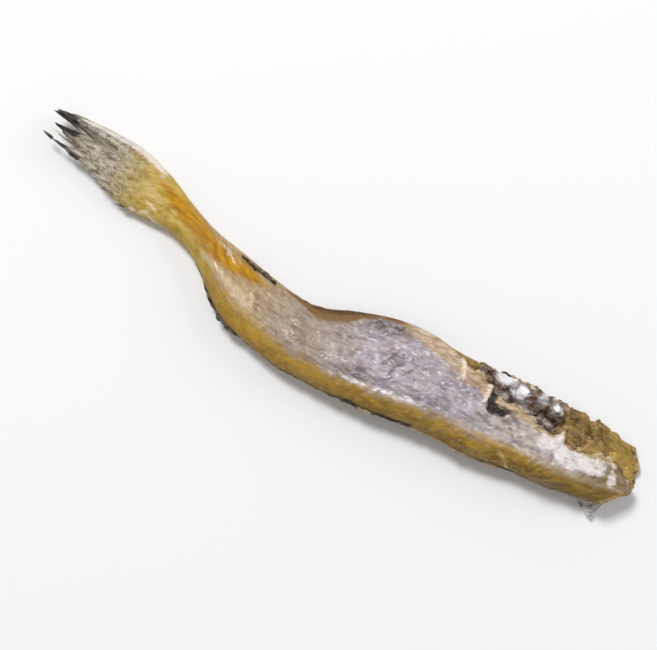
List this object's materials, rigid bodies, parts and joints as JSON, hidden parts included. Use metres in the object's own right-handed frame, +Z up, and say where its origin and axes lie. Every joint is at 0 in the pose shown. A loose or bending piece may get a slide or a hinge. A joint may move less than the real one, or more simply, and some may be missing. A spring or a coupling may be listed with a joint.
{
  "type": "dried fish",
  "caption": "Small gutted, headless dried fish with a torn open belly and a frayed tail fin, lying flat on its right side.",
  "frame": {"origin": "middle of the base of the fish's box, on the surface it lies on", "axes": "+X from the tail tips to the cut head end, +Y from the back to the belly, +Z up through the fish from its right flank to its left flank"},
  "size_m": [0.138, 0.0254, 0.0092],
  "materials": {
    "dried_flesh": "dry skin with a soft sheen: golden back, silvery lilac flank, dark speckled tail fin"
  },
  "bodies": {
    "root": {"dried_fish": "dried_flesh"}
  },
  "joints": []
}
